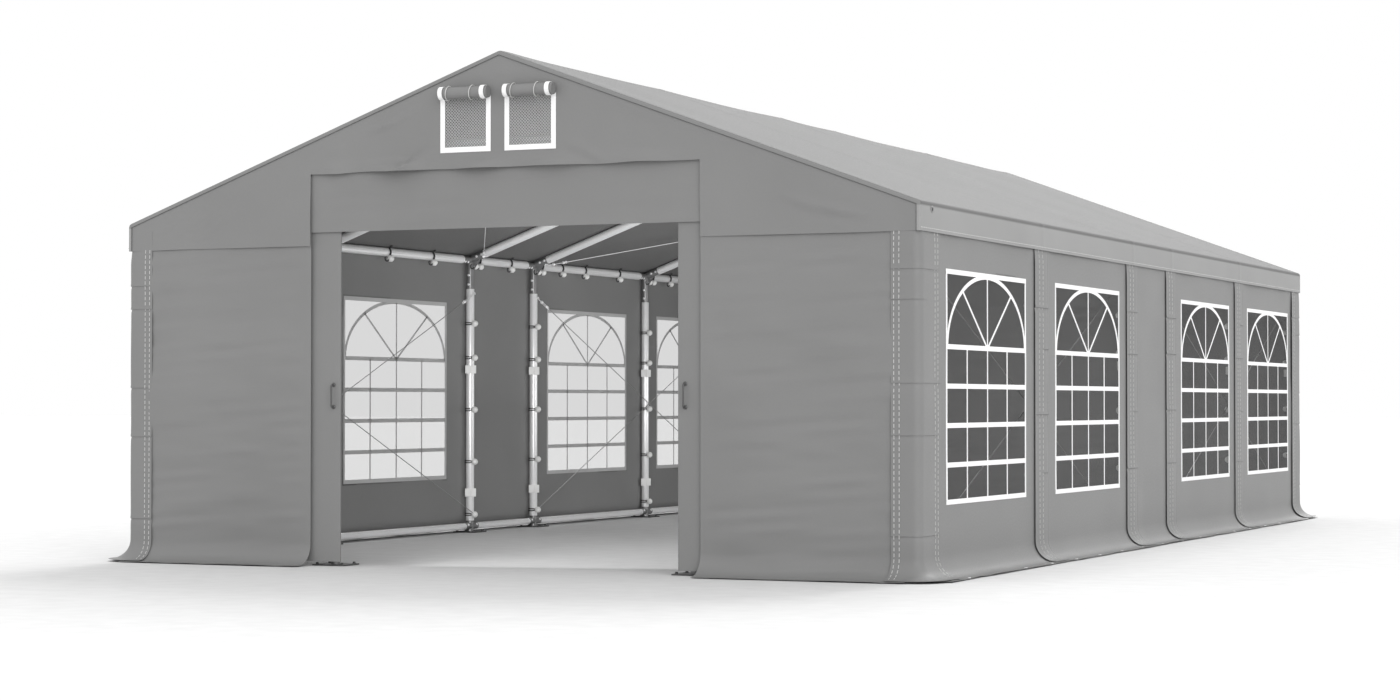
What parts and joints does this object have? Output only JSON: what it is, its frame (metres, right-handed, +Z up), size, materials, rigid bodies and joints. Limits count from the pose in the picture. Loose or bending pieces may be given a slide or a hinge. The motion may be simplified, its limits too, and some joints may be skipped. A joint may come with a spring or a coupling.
{
  "type": "marquee tent",
  "caption": "Gabled marquee tent: steel tube frame under grey coated fabric, with arched windows in the side walls, net vents in the gables and a wide doorway with sliding leaves.",
  "frame": {"origin": "on the ground at the middle of the footprint, skirts included", "axes": "+Z up, +Y from the open front gable towards the closed rear gable, +X to the right seen from the front"},
  "size_m": [5.3252, 9.5828, 2.9304],
  "materials": {
    "galvanised_tube": "bright zinc-coated steel tube, satin",
    "track_rail": "satin",
    "steel_wire": "stranded wire, satin",
    "grey_fabric": "coated woven sheet, matt with a soft sheen",
    "clear_film": "clear flexible film, glossy",
    "vent_net": "fine woven net, matt",
    "grey_plastic": "moulded, satin"
  },
  "bodies": {
    "tent": {"base_rail_left": "galvanised_tube", "base_rail_right": "galvanised_tube", "base_rail_rear": "galvanised_tube", "post_left_1": "galvanised_tube", "post_left_2": "galvanised_tube", "post_left_3": "galvanised_tube", "post_left_4": "galvanised_tube", "post_left_5": "galvanised_tube", "post_left_6": "galvanised_tube", "post_right_1": "galvanised_tube", "post_right_2": "galvanised_tube", "post_right_3": "galvanised_tube", "post_right_4": "galvanised_tube", "post_right_5": "galvanised_tube", "post_right_6": "galvanised_tube", "door_post_left": "galvanised_tube", "door_post_right": "galvanised_tube", "rear_post_left": "galvanised_tube", "rear_post_right": "galvanised_tube", "gable_tie_front": "galvanised_tube", "gable_tie_rear": "galvanised_tube", "eave_rail_left": "galvanised_tube", "eave_rail_right": "galvanised_tube", "ridge_rail": "galvanised_tube", "rafters_1": "galvanised_tube", "rafters_2": "galvanised_tube", "rafters_3": "galvanised_tube", "rafters_4": "galvanised_tube", "rafters_5": "galvanised_tube", "rafters_6": "galvanised_tube", "door_track": "track_rail", "brace_left_front_rising": "steel_wire", "brace_left_front_falling": "steel_wire", "brace_left_rear_rising": "steel_wire", "brace_left_rear_falling": "steel_wire", "brace_right_front_rising": "steel_wire", "brace_right_front_falling": "steel_wire", "brace_right_rear_rising": "steel_wire", "brace_right_rear_falling": "steel_wire", "side_wall_left": "grey_fabric", "side_wall_right": "grey_fabric", "window_film_left": "clear_film", "window_film_right": "clear_film", "front_panel_left": "grey_fabric", "front_panel_right": "grey_fabric", "rear_wall": "grey_fabric", "door_header": "grey_fabric", "front_gable": "grey_fabric", "rear_gable": "grey_fabric", "roof_sheet": "grey_fabric", "vent_front_left": "vent_net", "vent_front_right": "vent_net", "vent_rear_left": "vent_net", "vent_rear_right": "vent_net"},
    "left_door": {"door_leaf_left": "grey_fabric", "door_handle_left": "grey_plastic"},
    "right_door": {"door_leaf_right": "grey_fabric", "door_handle_right": "grey_plastic"}
  },
  "joints": [
    {"name": "left_door_slide", "type": "slide", "parent": "tent", "child": "left_door", "axis": [1, 0, 0], "range_m": [0, 1.048]},
    {"name": "right_door_slide", "type": "slide", "parent": "tent", "child": "right_door", "axis": [-1, 0, 0], "range_m": [0, 1.091]}
  ]
}
